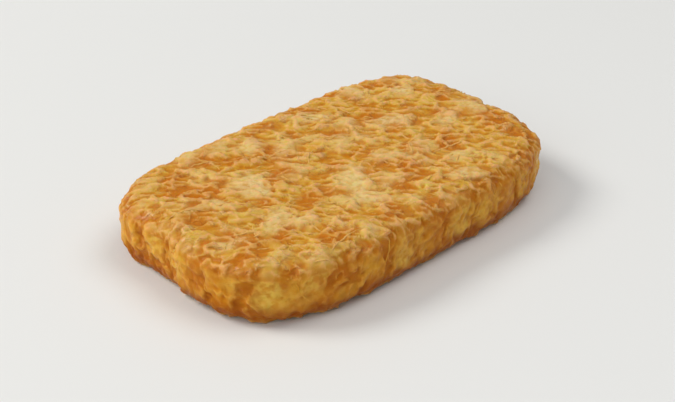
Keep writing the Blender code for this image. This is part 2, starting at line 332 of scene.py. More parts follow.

# The colours of the potato and of its painted shade and highlight, and how strongly each one shows
GOLDEN = (0.66, 0.455, 0.085, 1)
GOLDEN_DEEP = (0.6, 0.3, 0.018, 1)
# The pits' deeper gold, partly their own colour and partly painted shade laid in the pits and
# hollows
PIT_GOLD_AND_SHADE = (0.56, 0.205, 0.002, 1)
HOLLOW_SHADE_TINT = 0.9
SIDE_GOLD = (0.68, 0.27, 0.003, 1)
SIDE_DEEP = (0.54, 0.15, 0.0, 1)
SIDE_CRUST = (0.43, 0.095, 0.0, 1)
SIDE_CRUST_TINT = 0.9
PALE = (0.78, 0.63, 0.3, 1)
SIDE_PALE = (0.82, 0.54, 0.085, 1)
PALE_TINT = 0.9
# Painted shade: a darker orange-brown laid into the creases and hollows, where shade falls
CREASE_SHADE = (0.42, 0.1, 0.0, 1)
CREASE_SHADE_TINT = 0.85
BROWN = (0.5, 0.145, 0.003, 1)
BROWN_TINT = 0.85
# Peach on the crisp ridges: partly their own drier colour, partly a painted highlight of the oil
RIDGE_PEACH_AND_HIGHLIGHT = (0.79, 0.42, 0.19, 1)
SIDE_RIDGE_AND_HIGHLIGHT = (0.77, 0.4, 0.06, 1)
RIDGE_AND_HIGHLIGHT_TINT = 0.8
# The band round the foot: browned, and darker as painted shade near the floor
FOOT_BROWN_AND_SHADE = (0.32, 0.07, 0.0, 1)
FOOT_BROWN_AND_SHADE_TINT = 0.9

# Noise in the material, and the range of it that counts
DRIFT_SPAN = 9 * MM
DRIFT_RANGE = (0.35, 0.65)
SIDE_DRIFT_SPAN = 4.5 * MM
SIDE_DRIFT_RANGE = (0.35, 0.62)
MOTTLE_SPAN = 2.2 * MM
MOTTLE_RANGE = (0.3, 0.7)
GREASE_SPAN = 3 * MM
GREASE_RANGE = (0.35, 0.65)
OIL_SPAN = 4 * MM
OIL = (0.45, 0.7, 0.05, 0.32)  # a range, and what its two ends become, as in all those below
PALE_MOTTLE_SPAN = 1.5 * MM
PALE_MOTTLE = (0.35, 0.62, 0.35, 1)
SIDE_MOTTLE_SPAN = 3 * MM
SIDE_MOTTLE = (0.35, 0.6, 0.3, 1)
RIM_SPAN = 4 * MM
RIM_MOTTLE = (0.34, 0.54, 0.3, 1)
RIDGE_MOTTLE_SPAN = 1.2 * MM
RIDGE_MOTTLE = (0.35, 0.6, 0.4, 1)
FOOT_MOTTLE_SPAN = 1.5 * MM
FOOT_MOTTLE = (0.3, 0.6, 0.65, 1)
LINE_SHAPES = ((3.2 * MM, 15), (2 * MM, 12))  # the thin crisp lines: span and sharpness
LINE_BREAK_SPAN = 4 * MM
LINE_BREAKS = (0.38, 0.6, 0.15, 1)
NOISE_MIDDLE = 0.5

# How one stored value changes what another one does
SIDE_CRUST_MOTTLE = (0, 1, 1, 0.6)
# Painted shade in the hollows, towards the pits' deeper gold
HOLLOW_SHADE_SHARES = (0.4, 0.6)  # of the near and the broad hollow
HOLLOW_SHADE_RANGE = (0.48, 0.85)
HOLLOW_SHADE_DRIFT = (0, 1, 1, 0.55)
PIT_HINT = 0.35
PALE_ON_RIM = (0.1, 0.8, 1, 0.2)
NO_LIMIT = 2  # more than any share
NOT_PALE = (0, 0.9, 1, 0.4)
# Where the painted shade of the creases lies: in the near and the broad hollow, and how much on the
# wall
CREASE_RANGE = (0.55, 0.95)
BROAD_CREASE_RANGE = (0.6, 1)
CREASE_ON_SIDE = (0, 1, 0.45, 1)
BROWN_IN_HOLLOWS = (0.3, 0.6, 0.55, 1)
LINES_ON_PALE = (0.1, 0.9, 1, 0.3)
RIDGE_IN_HOLLOWS = (0.25, 0.55, 1, 0)
RIDGE_ON_BROWN = (0.1, 0.9, 1, 0.5)
WRINKLES_ON_PALE = (0, 0.8, 1, 0.35)
WRINKLES_ON_SIDE = (0, 1, 1, 0.4)
GRIT_ON_PALE = (0, 0.8, 1, 0.3)
OIL_ON_SIDE = (0, 1, 1, 0.4)

# Gloss, depth and the finest relief
ROUGHNESS = 0.3
GREASE_DULLS = 0.16
RIDGES_DULL = 0.1
PALE_SHINES = 0.1
IOR = 1.45
SPECULAR = 0.12
OIL_ROUGHNESS = 0.26
WRINKLE_HEIGHT = 0.2 * MM
GRIT_SPAN = 0.25 * MM
GRIT_SHARE = 0.2
SUBSURFACE = 0.4
CRISP_SUBSURFACE = 0.05
SUBSURFACE_RADIUS = (1.0, 0.35, 0.06)
SUBSURFACE_SCALE = 1.6 * MM

# The room
FLOOR_SIZE = 3.0
FLOOR_LOW = (0.76, 0.76, 0.74, 1)
FLOOR_HIGH = (0.8, 0.8, 0.785, 1)
FLOOR_CLOUD_SPAN = 0.4
FLOOR_ROUGHNESS = 0.5
SKY = (0.95, 0.97, 1, 1)
SKY_STRENGTH = 0.36
LIT_POINT = (0, 0, 0.01)  # that every light faces
LIGHTS = (  # name, place, size (m), power (W), colour
    ("key", (-0.75, 1.0, 1.1), 0.7, 15.6, (1, 0.98, 0.94)),
    ("fill", (-1.4, -0.3, 0.9), 1.2, 6.4, (1, 1, 1)),
    ("over", (0.7, -0.4, 1.5), 1.2, 9.0, (1, 0.99, 0.97)),
)

# The camera
AIM = (0.00418, 0.00537, 0)
VIEW_BACK = (-0.5978, -0.6168, 0.5121)
DISTANCE = 0.4
LENS = 81.15  # mm, and so is the sensor
SENSOR = 36
CLIP_START = 0.01
ROLL = 0.0105

# The surface grid
BALL_SEGMENTS = 192
BALL_RINGS = 96
RAY_SHARES = (0.3, 3.0)  # the slab's surface lies between these shares of the ball's
RAY_HALVINGS = 30
FINE_CELL = 0.45 * MM
TINY_STEP = 0.01 * MM
OUTLINE_STEPS = 720

Strip = namedtuple("Strip", "u v length width turn bend lift crown pale")


def gauge(x, y):
    """1 on the slab's outline, less inside it."""
    reach_x = np.abs(x / (SLAB_LENGTH / 2)) ** OUTLINE_POWER
    reach_y = np.abs(y / (SLAB_WIDTH / 2)) ** OUTLINE_POWER
    angle = np.degrees(np.arctan2(y, x))
    uneven = 1
    for corner, share in CORNERS:
        uneven = uneven + share * np.exp(-(((angle - corner) / CORNER_SPREAD) ** 2))
    return (reach_x + reach_y) ** (1 / OUTLINE_POWER) / uneven


def inset(x, y):
    """Distance in from the slab's outline, seen from above."""
    here = gauge(x, y)
    slope_x, slope_y = gauge(x + TINY_STEP, y) - here, gauge(x, y + TINY_STEP) - here
    slope = np.hypot(slope_x, slope_y) / TINY_STEP
    return np.minimum((1 - here) / np.maximum(slope, 1 / SLAB_LENGTH), SLAB_WIDTH / 2)


def outline_run():
    """Angles round the outline from the -X end, and the distance along it to each."""
    angles = np.linspace(-math.pi, math.pi, OUTLINE_STEPS + 1)
    reach = 1 / gauge(np.cos(angles), np.sin(angles))
    sides = np.hypot(np.diff(reach * np.cos(angles)), np.diff(reach * np.sin(angles)))
    return angles, np.concatenate([[0], np.cumsum(sides)])


def fullness(points):
    """1 on the slab's surface, less inside it, with the two rims rounded."""
    x, y, z = points.T
    rim_in = np.where(z > 0, TOP_RIM_IN, BASE_RIM_IN)
    rim_down = np.where(z > 0, TOP_RIM_DOWN, BASE_RIM_DOWN)
    sideways = np.maximum(1 - inset(x, y) / rim_in, 0)
    upwards = np.maximum(1 - (SLAB_THICKNESS / 2 - np.abs(z)) / rim_down, 0)
    return np.hypot(sideways, upwards)


def swollen_to_slab(points):
    """Each point moved along its own ray from the middle until it is on the slab."""
    near, far = (np.full(len(points), share) for share in RAY_SHARES)
    for _ in range(RAY_HALVINGS):
        middle = (near + far) / 2
        beyond = fullness(points * middle[:, None]) > 1
        near, far = np.where(beyond, near, middle), np.where(beyond, middle, far)
    return points * near[:, None]


def read_vectors(mesh, name):
    values = np.empty(len(mesh.vertices) * 3)
    mesh.vertices.foreach_get(name, values)
    return values.reshape(-1, 3)


def finished_mesh(obj):
    """The object's mesh with its modifiers applied. The object itself is removed."""
    graph = bpy.context.evaluated_depsgraph_get()
    mesh = bpy.data.meshes.new_from_object(obj.evaluated_get(graph))
    bpy.data.objects.remove(obj)
    return mesh


def slab_mesh():
    """The bare slab, with an even grid of small faces."""
    mesh = bpy.data.meshes.new("slab")
    ball = bmesh.new()
    bmesh.ops.create_uvsphere(ball, u_segments=BALL_SEGMENTS, v_segments=BALL_RINGS, radius=1)
    ball.to_mesh(mesh)
    ball.free()
    sides = np.array([SLAB_LENGTH, SLAB_WIDTH, SLAB_THICKNESS])
    points = swollen_to_slab(read_vectors(mesh, "co") * sides / 2)
    mesh.vertices.foreach_set("co", points.ravel())
    slab = bpy.data.objects.new("slab", mesh)
    bpy.context.scene.collection.objects.link(slab)
    remesh = slab.modifiers.new("even grid", "REMESH")
    remesh.mode = "VOXEL"
    remesh.voxel_size = FINE_CELL
    return finished_mesh(slab)


def broad_strip(u, v, length, width, turn, pale, rng):
    return Strip(
        u, v, length, width, math.radians(turn),
        rng.uniform(-BROAD_BEND, BROAD_BEND),
        BROAD_LIFT,
        BROAD_CROWN * rng.uniform(*BROAD_CROWN_SHARES),
        pale,
    )


def listed_strips(rows, rng):
    return [broad_strip(*(size * MM for size in row[:4]), *row[4:], rng) for row in rows]


def back_wall_strips(run, rng, tint):
    """Broad strips along the rest of the wall, in the same style as those on the front."""
    strips = []
    place = FRONT_RUN
    while place < run - WALL_STEP / 2:
        ranges = (WALL_DEPTHS, WALL_LENGTHS, WALL_WIDTHS)
        deep, length, width = (rng.uniform(*each) * MM for each in ranges)
        turn, pale = rng.uniform(*WALL_TURNS), tint.uniform(*WALL_PALENESS)
        strips.append(broad_strip(place, deep, length, width, turn, pale, rng))
        place += WALL_STEP * rng.uniform(*WALL_STEP_SHARES)
    return strips


def fill_strips(rng, tint, corner, area, turns, count, longest, highest):
    """Narrow strips spread over a rectangle that starts at corner."""
    strips = []
    for i in range(count):
        across, along = (
            (i * step + rng.uniform(-UNEVEN_STEP, UNEVEN_STEP)) % 1 for step in GOLDEN_STEPS
        )
        length = rng.uniform(*FILL_LENGTH_SHARES) * longest
        strips.append(
            Strip(
                corner[0] + across * area[0],
                corner[1] + along * area[1],
                length,
                length * rng.uniform(*FILL_WIDTH_SHARES),
                math.radians(rng.uniform(*turns)),
                rng.uniform(-FILL_BEND, FILL_BEND),
                rng.uniform(*FILL_LIFTS),
                rng.uniform(*FILL_CROWN_SHARES) * highest,
                tint.uniform(*FILL_PALENESS),
            )
        )
    return strips


def all_strips(run):
    """The strips on the top, on the wall and on the underside."""
    rng, tint = random.Random(SEED), random.Random(TINT_SEED)
    footprint = (-LENGTH / 2, -WIDTH / 2), (LENGTH, WIDTH)
    unrolled_wall = (0, -OVER_THE_RIM), (run, THICKNESS)
    top = listed_strips(TOP_STRIPS, rng)
    top += fill_strips(rng, tint, *footprint, ALONG_GRAIN, *TOP_FILL)
    wall = listed_strips(WALL_STRIPS, rng) + back_wall_strips(run, rng, tint)
    wall += fill_strips(rng, tint, *unrolled_wall, UPRIGHT, *WALL_FILL)
    base = fill_strips(rng, tint, *footprint, EVERY_WAY, *BASE_FILL)
    return top, wall, base


def step_up(value, low, high):
    """0 below low, 1 above high and a smooth rise between."""
    share = np.clip((value - low) / (high - low), 0, 1)
    return share * share * (3 - 2 * share)


def strip_layer(u, v, strips, crown, period=math.inf):
    """For each point: the height of the strips over it, and how pale the topmost one is and
    how near its edge the point lies, all 0 where there is none."""
    highest, pale, heap, lip = (np.zeros(len(u)) for _ in range(4))
    for strip in strips:
        du = u - strip.u
        if period < math.inf:
            du = (du + period / 2) % period - period / 2
        dv = v - strip.v
        along = du * math.cos(strip.turn) + dv * math.sin(strip.turn)
        across = dv * math.cos(strip.turn) - du * math.sin(strip.turn) + strip.bend * along**2
        reach_along = np.abs(2 * along / (strip.length * crown.spread)) ** BLUNT_ENDS
        reach = reach_along + np.abs(2 * across / (strip.width * crown.spread)) ** crown.squareness
        inside = np.clip(1 - reach, 0, 1)
        over = strip.lift * step_up(inside, 0, crown.edge)
        over = over + crown.share * strip.crown * inside**crown.power
        wins = (reach < 1) & (over > highest)
        highest = np.where(wins, over, highest)
        pale = np.where(wins, max(strip.pale, 0) * step_up(inside, *PALE_RISE), pale)
        edge = np.exp(-(((inside - LIP_PLACE) / LIP_WIDTH) ** 2))
        lip = np.where(wins, edge, lip)
        heap = heap + np.expm1(over / crown.melt)
    return crown.melt * np.log1p(heap), pale, lip


def at_least(least, share):
    """A share that goes from least to 1 in place of 0 to 1."""
    return least + (1 - least) * share


def noise_at(points, span):
    """Smooth noise at each point, about -1 to 1, with bumps of that span."""
    return np.array([noise.noise(Vector(p)) for p in points / span])


def wobble_at(points, span, size):
    """A smooth random shift for each point."""
    noise.seed_set(WOBBLE_SEED)
    return np.array([noise.noise_vector(Vector(p)) for p in points / span]) * size


def strip_relief(points, normals):
    """Height of the strips over the bare slab, how pale they are and where their edges are."""
    x, y, z = (points + wobble_at(points, *WANDER) + wobble_at(points, *FRAY)).T
    angles, run = outline_run()
    top, wall, base = all_strips(run[-1])
    along_rim = np.interp(np.arctan2(y, x), angles, run)
    deep = SLAB_THICKNESS / 2 - z - np.sign(z) * inset(x, y)
    shares = (
        step_up(normals[:, 2], *FACING),
        step_up(-normals[:, 2], *FACING),
        1 - step_up(inset(x, y), *WALL_REACH),
    )
    layers = (
        strip_layer(x, y, top, TOP_CROWN),
        strip_layer(x, y, base, TOP_CROWN),
        strip_layer(along_rim, deep, wall, WALL_CROWN, period=run[-1]),
    )
    best = np.zeros((3, len(x)))
    for share, layer in zip(shares, layers):
        layer = share * np.array(layer)
        best = np.where(layer[0] > best[0], layer, best)
    return best


def cells_at(points, span, warp_span, warp, ridge_share):
    """Warped cells: 1 on the ridges between them, and how far each point is from its middle."""
    warped = (points + wobble_at(points, warp_span, warp)) / span
    nearest, second = np.array([noise.voronoi(Vector(p))[0][:2] for p in warped]).T
    return 1 - step_up((second - nearest) / ridge_share, 0, 1), nearest


def veins_at(points, span):
    """Thin crinkled ridges that run on, 0 to 1."""
    folded = 1 - np.abs(noise_at(points, span)) * VEIN_SHARPNESS
    return np.clip(folded, 0, 1)


def blurred(values, edges, rounds):
    """Each point's value, averaged with its neighbours' again and again."""
    start, end = edges.T
    shares = 1 + np.bincount(edges.ravel(), minlength=len(values))
    for _ in range(rounds):
        total = np.bincount(start, values[end], len(values))
        total += np.bincount(end, values[start], len(values))
        values = (values + total) / shares
    return values


def read_edges(mesh):
    values = np.empty(len(mesh.edges) * 2, dtype=np.int32)
    mesh.edges.foreach_get("vertices", values)
    return values.reshape(-1, 2)


def browned_at(points):
    """How much browner than the rest each point is fried, 0 to 1, and the foot band, browned and
    painted shade.
    """
    x, y, z = points.T
    brown = BROWN_PATCHES * noise_at(points, BROWN_SPAN)
    for spot_x, spot_y, radius in BROWN_SPOTS:
        away = np.hypot(x - spot_x * MM, y - spot_y * MM) / (radius * MM)
        brown = brown + SPOT_SHARE * np.exp(-(away**2)) * (z > 0)
    foot = 1 - step_up(z + SLAB_THICKNESS / 2 + BAND_UNEVEN * noise_at(points, BAND_SPAN), *BAND)
    return np.clip(brown, 0, 1), foot


def drawn_out(points):
    """The points squeezed along the way that the shreds lie, so that what is laid out on them
    is drawn out that way, and on the walls upwards."""
    turn = math.radians(GRAIN_TURN)
    x, y, z = points.T
    along = (x * math.cos(turn) + y * math.sin(turn)) / GRAIN_STRETCH
    across = y * math.cos(turn) - x * math.sin(turn)
    return np.stack([along, across, z / WALL_STRETCH], axis=1)


def crust_relief(points, normals):
    """How far each point of the slab moves out, and its values for the material."""
    strips, pale, lip = strip_relief(points, normals)
    lip = lip * step_up(noise_at(points, LIP_BREAK_SPAN), *LIP_BREAK_RANGE)
    covered = 1 - BARE_SHARE * step_up(strips, *BARE_RANGE)
    drawn = drawn_out(points + wobble_at(points, *CRUMPLE))
    pit_ridges, pit_reach = cells_at(drawn, PIT, *PIT_WARP, PIT_RIDGE)
    broken = step_up(noise_at(points, BREAK_SPAN), *BREAK_RANGE)
    pit_ridges = pit_ridges * at_least(WORN_RIDGE, broken)
    small_ridges, small_reach = cells_at(drawn, CRINKLE, *CRINKLE_WARP, CRINKLE_RIDGE)
    veins = veins_at(drawn + wobble_at(drawn, *VEIN_WOBBLE), VEIN_SPAN)
    veins = veins * step_up(noise_at(points, VEIN_BREAK_SPAN), *VEIN_BREAK_RANGE)
    pits = PIT_DEPTH * (pit_ridges + BOWL_SHARE * pit_reach - CRUST_MIDDLE)
    crinkles = CRINKLE_DEPTH * (small_ridges + small_reach - 1) + VEIN_HEIGHT * veins
    side = 1 - step_up(np.abs(normals[:, 2]), *SIDE_RANGE)
    height = (1 - SIDE_LOWER * side) * strips + SWELL * noise_at(points, SWELL_SPAN)
    height = height + (1 - SIDE_SMOOTHNESS * side) * covered * pits
    height = height + at_least(BARE_CRINKLES, covered) * crinkles
    height = height + LIP_HEIGHT * lip + BUMP_HEIGHT * side * noise_at(points, BUMP_SPAN)
    foot = 1 - step_up(points[:, 2] + SLAB_THICKNESS / 2, *FOOT_RISE)
    height = height * (1 - FOOT_SMOOTHNESS * foot * side)
    ridges = (pit_ridges * covered, small_ridges * covered, veins, lip)
    ridge = np.maximum.reduce([share * each for share, each in zip(RIDGE_SHOWS, ridges)])
    pit = covered * step_up(1 - pit_ridges, *PIT_FLOOR) * (1 - VEIN_COVERS * veins)
    crust = 1 - step_up(strips, *CRUST_RANGE)
    return height, {"pale": pale, "ridge": ridge, "pit": pit, "side": side, "crust": crust}


def pressed_flat(points, deep):
    """The lowest crests pressed to one plane, where Z is 0."""
    floor = points[:, 2].min() + deep
    points[:, 2] = np.maximum(points[:, 2] - floor, 0)
    return points


def at_finished_size(points):
    """Stretched a little to fill the solid's own box."""
    low, high = points.min(axis=0), points.max(axis=0)
    box_low, box_high = (np.array(corner) for corner in CAD_BOX)
    return box_low + (points - low) * (box_high - box_low) / (high - low)


def set_values(mesh, name, values):
    attribute = mesh.attributes.new(name, "FLOAT", "POINT")
    attribute.data.foreach_set("value", values.astype(np.float32))


def shown_piece(name, mesh, material):
    """A piece of the rosti with its material, which moves with the solid."""
    mesh.shade_smooth()
    mesh.materials.clear()
    mesh.materials.append(material)
    piece = bpy.data.objects.new(name, mesh)
    bpy.context.scene.collection.objects.link(piece)
    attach(piece, "root")
    return piece


def build_crust(material):
    mesh = slab_mesh()
    points, normals = read_vectors(mesh, "co"), read_vectors(mesh, "normal")
    height, values = crust_relief(points, normals)
    edges = read_edges(mesh)
    for name in ("pale", "crust"):
        values[name] = blurred(values[name], edges, SOFT_ROUNDS)
    values["brown"], foot = browned_at(points)
    values["foot"] = foot * (1 - UNDER_LIGHTER * step_up(-normals[:, 2], *UNDER_RANGE))
    values["rim"] = step_up(normals[:, 2], *RIM_RISE) - step_up(normals[:, 2], *RIM_FALL)
    for name, (rounds, size) in HOLLOWS.items():
        dip = (blurred(height, edges, rounds) - height) / size
        values[name] = np.clip(0.5 + dip / 2, 0, 1)
    points = pressed_flat(points + normals * height[:, None], PRESSED)
    mesh.vertices.foreach_set("co", at_finished_size(points).ravel())
    for name, each in values.items():
        set_values(mesh, name, each)
    crust = shown_piece("crust", mesh, material)
    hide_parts("rosti")
    return crust


def shed_curve(name):
    """A curve for many thin threads, with a small section of few sides."""
    curve = bpy.data.curves.new(name, "CURVE")
    curve.dimensions = "3D"
    curve.bevel_depth = THREAD_RADIUS
    curve.bevel_resolution = 1
    curve.use_fill_caps = True
    curve.resolution_u = 1
    return curve


def add_thread(curve, path, thickness, rng):
    """One thread along the path, thinning out towards both its ends."""
    spline = curve.splines.new("POLY")
    spline.points.add(len(path) - 1)
    for i, (point, place) in enumerate(zip(spline.points, path)):
        share = i / (len(path) - 1)
        point.co = (*place, 1)
        taper = at_least(THREAD_END, math.sin(math.pi * share) ** TAPER_POWER)
        point.radius = thickness * taper * rng.uniform(*THREAD_KNOTS)


def bent_line(start, end, sag, rng):
    """Points from start to end, bent sideways by sag and a little crinkled."""
    start, end = np.array(start), np.array(end)
    length = np.hypot(*(end - start))
    share = np.linspace(0, 1, max(FEWEST_POINTS, int(length / THREAD_STEP)))
    aside = np.array([start[1] - end[1], end[0] - start[0]]) / length
    phase, waves = rng.uniform(*PHASES), length / rng.uniform(*CRINKLE_LENGTHS)
    height, number = CRINKLE_WAVE
    crinkle = np.sin(phase + waves * math.tau * share)
    crinkle = crinkle + height * np.sin(number * waves * math.tau * share)
    out = sag * 4 * share * (1 - share) + CRINKLED * crinkle
    return start + share[:, None] * (end - start) + out[:, None] * aside


def on_top(tree, line, lift):
    """The plan's line laid over the crust from above, or None where it runs off it."""
    path = []
    for x, y in line:
        place, normal, _, _ = tree.ray_cast(Vector((x, y, 2 * THICKNESS)), Vector((0, 0, -1)))
        if place is None or normal.z < STEEP:
            return None
        path.append(place + normal * lift)
    return path


def on_wall(tree, line, lift):
    """The unrolled wall's line laid round the crust, or None where it misses it."""
    angles, run = outline_run()
    path = []
    for along, deep in line:
        angle = np.interp(along % run[-1], run, angles)
        outward = Vector((math.cos(angle), math.sin(angle), 0))
        start = outward * LENGTH + Vector((0, 0, THICKNESS - deep))
        place, normal, _, _ = tree.ray_cast(start, -outward)
        if place is None:
            return None
        path.append(place + normal * lift)
    return path


def eased(path):
    """The path with its sharper kinks taken out, so that it bridges small pits."""
    points = np.array(path)
    for _ in range(EASING_ROUNDS):
        points[1:-1] = (points[:-2] + 2 * points[1:-1] + points[2:]) / 4
    return points


def random_line(middle, turn, shorter, sag, rng):
    """A thread's line through its middle, at an angle in degrees."""
    turn = math.radians(turn)
    length = rng.uniform(*THREAD_LENGTHS) / shorter
    reach = np.array([math.cos(turn), math.sin(turn)]) * length / 2
    return bent_line(middle - reach, middle + reach, rng.uniform(-sag, sag), rng)


def random_lines(rng):
    """Threads on the top and the wall, each with how it is laid down."""
    for _ in range(TOP_THREADS):
        middle = np.array([rng.uniform(-0.5, 0.5) * LENGTH, rng.uniform(-0.5, 0.5) * WIDTH])
        turn = GRAIN_TURN + rng.gauss(0, GRAIN_SPREAD)
        yield on_top, random_line(middle, turn, 1, THREAD_SAG, rng)
    run = outline_run()[1][-1]
    for _ in range(WALL_THREADS):
        middle = np.array([rng.uniform(0, run), rng.uniform(*WALL_THREAD_DEPTHS) * MM])
        turn = rng.gauss(*WALL_THREAD_TURNS)
        yield on_wall, random_line(middle, turn, WALL_THREADS_SHORTER, WALL_THREAD_SAG, rng)


def listed_lines(rng):
    for lay, rows in ((on_top, LONG_THREADS), (on_wall, LONG_WALL_THREADS)):
        for x1, y1, x2, y2, sag in rows:
            yield lay, bent_line((x1 * MM, y1 * MM), (x2 * MM, y2 * MM), sag * MM, rng)


def inside_box(points):
    return np.clip(points, *(np.array(corner) for corner in CAD_BOX))


def fill_values(mesh, **values):
    for name in ("pale", "ridge", "pit", "side", "crust", "brown", "foot", "rim"):
        set_values(mesh, name, np.full(len(mesh.vertices), values.get(name, 0.0)))
    for name in HOLLOWS:
        set_values(mesh, name, np.full(len(mesh.vertices), THREAD_HOLLOW))


def build_threads(crust, material):
    rng = random.Random(THREAD_SEED)
    tree = BVHTree.FromObject(crust, bpy.context.evaluated_depsgraph_get())
    curve = shed_curve("threads")
    for lay, line in list(listed_lines(rng)) + list(random_lines(rng)):
        path = lay(tree, line, THREAD_LIFT)
        if path is not None:
            add_thread(curve, eased(path), rng.uniform(*THREAD_THICKNESSES), rng)
    tubes = bpy.data.objects.new("tubes", curve)
    bpy.context.scene.collection.objects.link(tubes)
    mesh = finished_mesh(tubes)
    points = inside_box(read_vectors(mesh, "co"))
    mesh.vertices.foreach_set("co", points.ravel())
    low = 1 - step_up(points[:, 2], *THREAD_LOW)
    fill_values(mesh, ridge=THREAD_RIDGE, side=np.maximum(low, THREAD_SIDE))
    shown_piece("threads", mesh, material)


class Mixer:
    """Adds nodes to a material. A value is a socket, a number or a colour."""

    def __init__(self, material):
        self.tree = material.node_tree

    def node(self, kind, **settings):
        node = self.tree.nodes.new(kind)
        for name, setting in settings.items():
            setattr(node, name, setting)
        return node

    def feed(self, socket, value):
        if isinstance(value, bpy.types.NodeSocket):
            self.tree.links.new(value, socket)
        else:
            socket.default_value = value

    def stored(self, name):
        return self.node("ShaderNodeAttribute", attribute_name=name).outputs["Fac"]

    def math(self, operation, *values):
        node = self.node("ShaderNodeMath", operation=operation)
        for socket, value in zip(node.inputs, values):
            self.feed(socket, value)
        return node.outputs["Value"]

    def times(self, first, *others):
        for other in others:
            first = self.math("MULTIPLY", first, other)
        return first

    def range(self, value, low, high, new_low=0.0, new_high=1.0):
        node = self.node("ShaderNodeMapRange", interpolation_type="SMOOTHSTEP")
        for socket, each in zip(node.inputs, (value, low, high, new_low, new_high)):
            self.feed(socket, each)
        return node.outputs["Result"]

    def mix(self, share, first, second):
        node = self.node("ShaderNodeMix", data_type="RGBA")
        self.feed(node.inputs["Factor"], share)
        self.feed(node.inputs["A"], first)
        self.feed(node.inputs["B"], second)
        return node.outputs["Result"]

    def noise(self, span, detail=3.0, roughness=0.55, distortion=0.0, place=None):
        node = self.node("ShaderNodeTexNoise")
        self.feed(node.inputs["Vector"], place or self.node("ShaderNodeTexCoord").outputs["Object"])
        self.feed(node.inputs["Scale"], 1 / span)
        self.feed(node.inputs["Detail"], detail)
        self.feed(node.inputs["Roughness"], roughness)
        self.feed(node.inputs["Distortion"], distortion)
        return node.outputs["Fac"]

    def grain(self):
        """Places squeezed along the way that the shreds on the top lie."""
        node = self.node("ShaderNodeMapping", vector_type="TEXTURE")
        self.feed(node.inputs["Vector"], self.node("ShaderNodeTexCoord").outputs["Object"])
        self.feed(node.inputs["Rotation"], (0, 0, math.radians(GRAIN_TURN)))
        self.feed(node.inputs["Scale"], (GRAIN_STRETCH, 1, GRAIN_RISE))
        return node.outputs["Vector"]

    def lines(self, span, sharpness):
        """Thin crinkled lines that meander along the grain, 0 to 1."""
        level = self.noise(span, detail=2.0, roughness=0.5, distortion=0.4, place=self.grain())
        away = self.math("ABSOLUTE", self.math("SUBTRACT", level, NOISE_MIDDLE))
        return self.range(away, 0.0, 1 / sharpness, 1.0, 0.0)

    def bump(self, height, distance):
        node = self.node("ShaderNodeBump")
        self.feed(node.inputs["Height"], height)
        self.feed(node.inputs["Distance"], distance)
        return node.outputs["Normal"]


def fine_lines(mix):
    """The thinnest crisp ridges, broken here and there."""
    lines = mix.math("MAXIMUM", *(mix.lines(*shape) for shape in LINE_SHAPES))
    return mix.times(lines, mix.range(mix.noise(LINE_BREAK_SPAN, detail=2.0), *LINE_BREAKS))


def plain_colour(mix, side, drift):
    """Golden potato, deeper in patches and, partly as painted shade, in the pits; more orange on
    the wall.
    """
    mottle = mix.range(mix.noise(MOTTLE_SPAN, detail=4.0), *MOTTLE_RANGE)
    lightness = mix.math("MULTIPLY_ADD", mottle, 0.5, mix.times(drift, 0.5))
    top = mix.mix(lightness, GOLDEN_DEEP, GOLDEN)
    top = mix.mix(mix.times(mix.stored("pit"), PIT_HINT), top, PIT_GOLD_AND_SHADE)
    side_drift = mix.range(mix.noise(SIDE_DRIFT_SPAN, detail=2.0), *SIDE_DRIFT_RANGE)
    wall = mix.mix(side_drift, SIDE_DEEP, SIDE_GOLD)
    crust = mix.times(mix.stored("crust"), mix.range(mottle, *SIDE_CRUST_MOTTLE))
    wall = mix.mix(mix.times(crust, SIDE_CRUST_TINT), wall, SIDE_CRUST)
    return mix.mix(side, top, wall)


def paleness(mix, side):
    """How pale the broad strips are: less on the rim, and in patches on the wall."""
    mottle = mix.range(mix.noise(PALE_MOTTLE_SPAN, detail=4.0), *PALE_MOTTLE)
    pale = mix.times(mix.stored("pale"), mottle, mix.range(mix.stored("rim"), *PALE_ON_RIM))
    side_mottle = mix.range(mix.noise(SIDE_MOTTLE_SPAN, detail=2.0), *SIDE_MOTTLE)
    limit = mix.math("SUBTRACT", side_mottle, NO_LIMIT)
    most = mix.math("MULTIPLY_ADD", side, limit, NO_LIMIT)
    return mix.math("MINIMUM", pale, most)


# How much painted shade goes into the creases: where the surface lies deep, off the pale strips
def creases(mix, side, hollow, broad, not_pale):
    deep = mix.math(
        "MAXIMUM", mix.range(hollow, *CREASE_RANGE), mix.range(broad, *BROAD_CREASE_RANGE)
    )
    return mix.times(deep, not_pale, mix.range(side, *CREASE_ON_SIDE))


def browning(mix, hollow, not_pale):
    """How brown it is: on the rim and in patches, most of all in their hollows."""
    rim = mix.times(mix.stored("rim"), mix.range(mix.noise(RIM_SPAN), *RIM_MOTTLE))
    brown = mix.math("MAXIMUM", mix.stored("brown"), rim)
    return mix.times(brown, mix.range(hollow, *BROWN_IN_HOLLOWS), not_pale)


def ridges(mix, pale, hollow, brown):
    """Where the crisp ridges take their peach, partly their own colour and partly a painted
    highlight.
    """
    lines = mix.times(fine_lines(mix), mix.range(pale, *LINES_ON_PALE))
    ridge = mix.math("MAXIMUM", mix.stored("ridge"), lines)
    ridge = mix.times(ridge, mix.range(hollow, *RIDGE_IN_HOLLOWS))
    ridge = mix.times(ridge, mix.range(mix.noise(RIDGE_MOTTLE_SPAN), *RIDGE_MOTTLE))
    return mix.times(ridge, mix.range(brown, *RIDGE_ON_BROWN))


